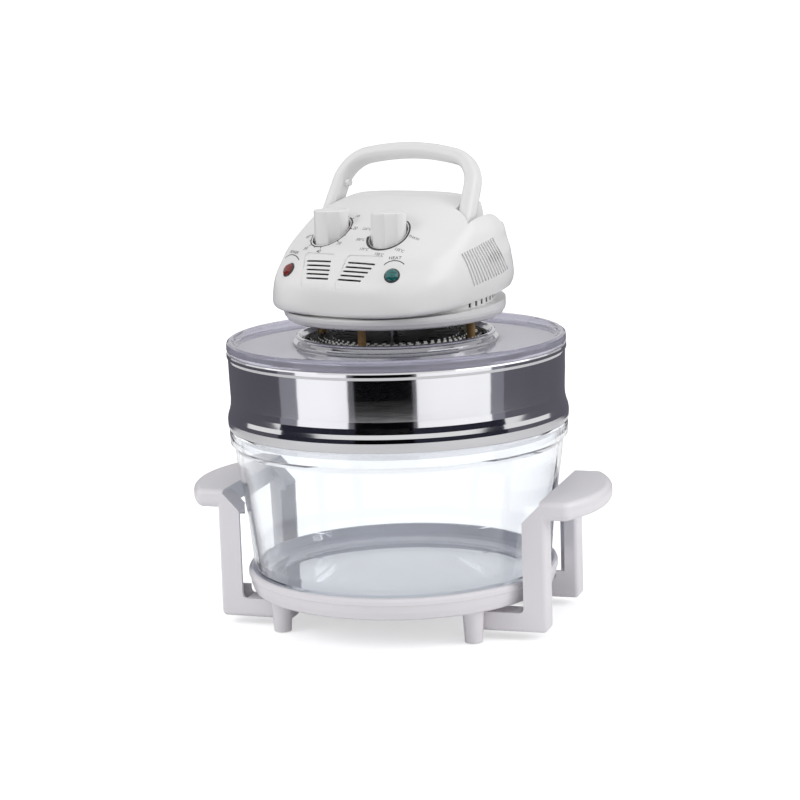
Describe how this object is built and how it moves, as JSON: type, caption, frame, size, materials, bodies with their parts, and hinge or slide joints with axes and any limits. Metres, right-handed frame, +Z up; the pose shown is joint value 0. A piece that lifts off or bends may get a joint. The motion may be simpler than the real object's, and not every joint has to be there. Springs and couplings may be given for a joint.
{
  "type": "countertop convection oven",
  "caption": "Countertop convection oven: glass bowl in a handled base tray, steel extension ring, and a lift-off glass lid with a fan and heater head, two knobs and a folding lift handle",
  "frame": {"origin": "on the table under the axis of the bowl, at the centre of the feet", "axes": "+Z is up along the bowl's axis, +X runs through the two side handles, -Y is the side nearest the viewer; the lid and its head rest turned 17.75 degrees clockwise seen from above"},
  "size_m": [0.424, 0.3372, 0.4685],
  "materials": {
    "white_base": "gloss",
    "white_head": "gloss",
    "pad_rubber": "matte",
    "clear_glass": "clear polished",
    "polished_steel": "mirror polished",
    "plain_steel": "satin",
    "zinc_steel": "zinc plated",
    "aluminium": "satin",
    "element_steel": "heat darkened",
    "ceramic": "unglazed ceramic",
    "tan_insulator": "matte",
    "silicone": "matte",
    "stator_steel": "laminated",
    "coil_tape": "wound and taped",
    "bearing_bronze": "sintered",
    "black_plastic": "matte",
    "plunger_red": "gloss",
    "red_lens": "translucent",
    "green_lens": "translucent"
  },
  "bodies": {
    "base": {"base_tray": "white_base", "foot_pads": "pad_rubber", "side_handle_left": "white_base", "side_handle_right": "white_base", "handle_screws": "zinc_steel"},
    "bowl": {"glass_bowl": "clear_glass"},
    "ring": {"extension_ring": "polished_steel"},
    "lid": {"lid_glass": "clear_glass", "lid_collar": "polished_steel", "lid_gasket": "silicone", "clamp_ring": "plain_steel", "heater_pan": "plain_steel", "pan_screws": "zinc_steel", "heat_shield": "plain_steel", "spacer_posts": "tan_insulator", "post_screws": "zinc_steel", "heating_element": "element_steel", "element_bushes": "ceramic", "element_leads": "silicone", "wire_guard": "plain_steel", "motor_stator": "stator_steel", "motor_coil": "coil_tape", "motor_rail": "plain_steel", "motor_top_bridge": "plain_steel", "motor_bearings": "bearing_bronze", "rail_screws": "zinc_steel", "head_base": "white_head", "head_cover": "white_head", "cover_screws": "zinc_steel", "handle_pivots": "plain_steel", "safety_switch": "black_plastic", "control_plate": "plain_steel", "timer_unit": "black_plastic", "thermostat_unit": "black_plastic", "thermostat_bulb": "plain_steel", "red_lamp_lens": "red_lens", "green_lamp_lens": "green_lens", "lamp_bodies": "black_plastic", "cord_gland": "black_plastic"},
    "lift": {"lift_handle": "white_head"},
    "plunger": {"switch_plunger": "plunger_red"},
    "timer": {"timer_knob": "white_head", "timer_spindle": "plain_steel"},
    "thermostat": {"thermostat_knob": "white_head", "thermostat_spindle": "plain_steel"},
    "fan": {"motor_shaft": "plain_steel", "convection_fan": "aluminium", "fan_nut": "zinc_steel", "cooling_fan": "black_plastic"}
  },
  "joints": [
    {"name": "bowl_lift", "type": "slide", "parent": "base", "child": "bowl", "axis": [0, 0, 1], "range_m": [0, 0.08]},
    {"name": "ring_lift", "type": "slide", "parent": "bowl", "child": "ring", "axis": [0, 0, 1], "range_m": [0, 0.1]},
    {"name": "lid_lift", "type": "slide", "parent": "ring", "child": "lid", "axis": [0, 0, 1], "range_m": [0, 0.12]},
    {"name": "handle_fold", "type": "hinge", "parent": "lid", "child": "lift", "pos_m": [0.0003, 0.00095, 0.384], "axis": [-0.9524, 0.3049, 0], "range_deg": [0, 48]},
    {"name": "switch_press", "type": "slide", "parent": "lid", "child": "plunger", "axis": [0, 0, -1], "range_m": [0, 0.002], "stiffness_N_per_m": 300, "springref_m": -0.001},
    {"name": "timer_turn", "type": "hinge", "parent": "lid", "child": "timer", "pos_m": [-0.04854, -0.04011, 0.39], "axis": [0, 0, -1], "range_deg": [0, 300]},
    {"name": "thermostat_turn", "type": "hinge", "parent": "lid", "child": "thermostat", "pos_m": [0.01622, -0.06084, 0.39], "axis": [0, 0, -1], "range_deg": [0, 270]},
    {"name": "fan_spin", "type": "hinge", "parent": "lid", "child": "fan", "pos_m": [0, 0, 0.31], "axis": [0, 0, 1], "continuous": true}
  ]
}
